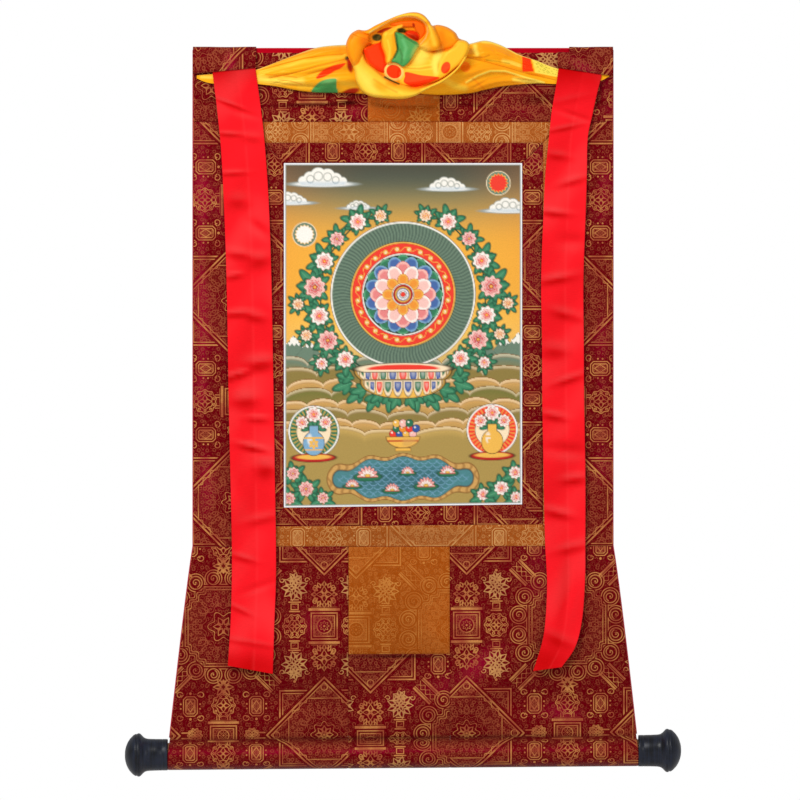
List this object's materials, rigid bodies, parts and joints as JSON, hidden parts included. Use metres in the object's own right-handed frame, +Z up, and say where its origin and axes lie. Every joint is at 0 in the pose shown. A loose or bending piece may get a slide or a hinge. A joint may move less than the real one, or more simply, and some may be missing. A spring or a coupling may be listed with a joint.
{
  "type": "thangka scroll painting on a stave and roller",
  "caption": "Hanging scroll: painted canvas in a pieced brocade mount, hung by a flat stave and weighted by a turned roller, with red ribbons and a silk veil gathered into a rosette.",
  "frame": {"origin": "the middle of the stave's top face, where the scroll is hung", "axes": "+Z up, -Y out of the painted face towards the viewer, +X to the viewer's right, metres"},
  "size_m": [0.7232, 0.0849, 0.9921],
  "materials": {
    "brocade_maroon": "satin",
    "brocade_gold": "satin",
    "painted_canvas": "matte",
    "lining_red": "matte",
    "ribbon_satin": "satin",
    "veil_silk": "satin",
    "stave_lacquer": "gloss",
    "roller_wood": "matte",
    "knob_black": "satin"
  },
  "bodies": {
    "root": {"stave": "stave_lacquer", "roller": "roller_wood", "knob_left": "knob_black", "knob_right": "knob_black", "lining": "lining_red", "painting": "painted_canvas", "maroon_border_top": "brocade_maroon", "maroon_border_right": "brocade_maroon", "maroon_border_bottom": "brocade_maroon", "maroon_border_left": "brocade_maroon", "gold_border_top": "brocade_gold", "gold_border_right": "brocade_gold", "gold_border_bottom": "brocade_gold", "gold_border_left": "brocade_gold", "top_panel_left": "brocade_maroon", "top_door": "brocade_gold", "top_panel_right": "brocade_maroon", "side_panel_left": "brocade_maroon", "side_panel_right": "brocade_maroon", "lower_panel_left": "brocade_maroon", "lower_door": "brocade_gold", "lower_panel_middle": "brocade_maroon", "lower_panel_right": "brocade_maroon", "corner_cap_left": "brocade_maroon", "corner_cap_right": "brocade_maroon", "ribbon_left": "ribbon_satin", "ribbon_right": "ribbon_satin", "veil": "veil_silk"}
  },
  "joints": []
}
